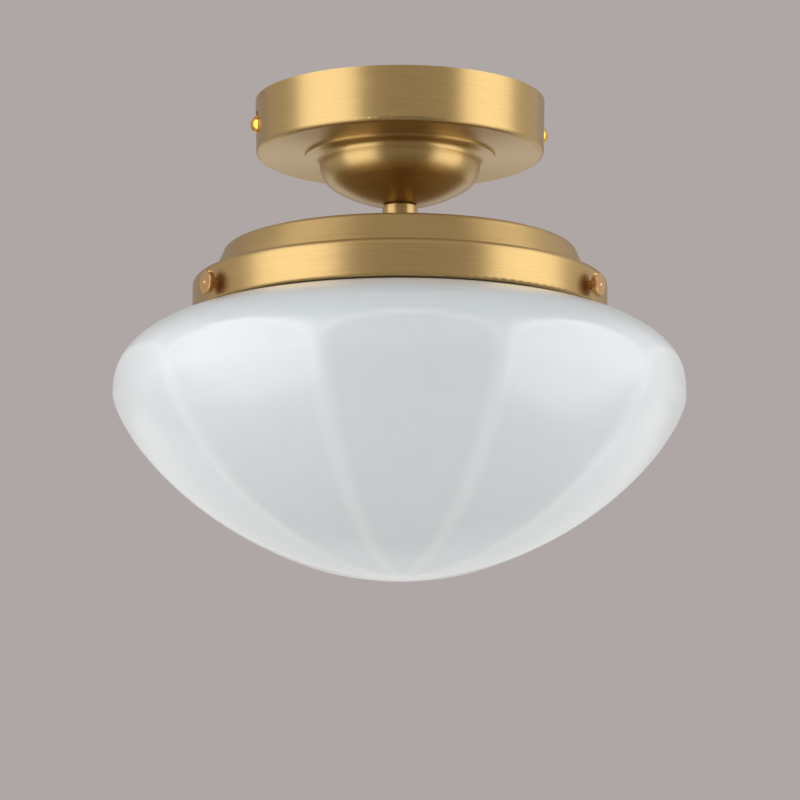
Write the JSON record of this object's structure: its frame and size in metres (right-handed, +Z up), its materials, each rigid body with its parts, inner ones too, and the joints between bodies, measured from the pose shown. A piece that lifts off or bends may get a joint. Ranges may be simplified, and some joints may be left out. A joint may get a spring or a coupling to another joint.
{
  "type": "semi flush ceiling light",
  "caption": "Semi flush ceiling light: round canopy with a domed cup, short stem, gallery with thumbscrews and a panelled opal glass shade; lampholder inside.",
  "frame": {"origin": "centre of the crossbar's ceiling side, in the plane of the ceiling", "axes": "+Z up into the ceiling, +X along the crossbar towards the right canopy screw; the light hangs below the origin"},
  "size_m": [0.234, 0.2326, 0.2],
  "materials": {
    "brushed_brass": "satin, brushed round",
    "polished_gold": "polished",
    "turned_brass": "turned, bright",
    "raw_brass": "plain",
    "soft_tip": "matt",
    "opal_glass": "gloss",
    "porcelain": "glazed",
    "block_plastic": "satin",
    "zinc_steel": "zinc plated"
  },
  "bodies": {
    "fixture": {"band_bush_1": "raw_brass", "band_bush_2": "raw_brass", "band_bush_3": "raw_brass", "canopy": "brushed_brass", "canopy_lock_washer": "zinc_steel", "canopy_nut": "zinc_steel", "canopy_screw_left": "polished_gold", "canopy_screw_right": "polished_gold", "centre_contact": "raw_brass", "dome_cup": "brushed_brass", "earth_screw": "zinc_steel", "earth_washer": "zinc_steel", "gallery": "brushed_brass", "gallery_lock_washer": "zinc_steel", "gallery_nut": "zinc_steel", "glass_shade": "opal_glass", "hanger_screw_1": "zinc_steel", "hanger_screw_2": "zinc_steel", "lamp_hanger": "zinc_steel", "lamp_terminal_1": "raw_brass", "lamp_terminal_2": "raw_brass", "lamp_terminal_screw_1": "zinc_steel", "lamp_terminal_screw_2": "zinc_steel", "lampholder_body": "porcelain", "mounting_bracket": "zinc_steel", "side_contact": "raw_brass", "stem_sleeve": "brushed_brass", "terminal_block": "block_plastic", "terminal_block_screw": "zinc_steel", "terminal_clamp_screws": "zinc_steel", "terminal_sleeve_1": "raw_brass", "terminal_sleeve_2": "raw_brass", "terminal_sleeve_3": "raw_brass", "thread_shell": "raw_brass", "threaded_tube": "zinc_steel"},
    "tip_1": {"screw_tip_1": "soft_tip"},
    "screw_1": {"thumbscrew_1": "turned_brass"},
    "tip_2": {"screw_tip_2": "soft_tip"},
    "screw_2": {"thumbscrew_2": "turned_brass"},
    "tip_3": {"screw_tip_3": "soft_tip"},
    "screw_3": {"thumbscrew_3": "turned_brass"}
  },
  "joints": [
    {"name": "screw_travel_1", "type": "slide", "parent": "fixture", "child": "tip_1", "axis": [-0.9397, -0.342, 0], "range_m": [0, 0.0042]},
    {"name": "screw_turn_1", "type": "hinge", "parent": "tip_1", "child": "screw_1", "pos_m": [-0.08025, -0.02921, -0.0858], "axis": [-0.9397, -0.342, 0], "range_deg": [0, 2160]},
    {"name": "screw_travel_2", "type": "slide", "parent": "fixture", "child": "tip_2", "axis": [0.8192, -0.5736, 0], "range_m": [0, 0.0042]},
    {"name": "screw_turn_2", "type": "hinge", "parent": "tip_2", "child": "screw_2", "pos_m": [0.06996, -0.04898, -0.0858], "axis": [0.8192, -0.5736, 0], "range_deg": [0, 2160]},
    {"name": "screw_travel_3", "type": "slide", "parent": "fixture", "child": "tip_3", "axis": [0.1305, 0.9914, 0], "range_m": [0, 0.0042]},
    {"name": "screw_turn_3", "type": "hinge", "parent": "tip_3", "child": "screw_3", "pos_m": [0.01115, 0.08467, -0.0858], "axis": [0.1305, 0.9914, 0], "range_deg": [0, 2160]}
  ],
  "couplings": [
    {"joint": "screw_turn_1", "follows": "screw_travel_1", "rad_per_m": 8976},
    {"joint": "screw_turn_2", "follows": "screw_travel_2", "rad_per_m": 8976},
    {"joint": "screw_turn_3", "follows": "screw_travel_3", "rad_per_m": 8976}
  ]
}
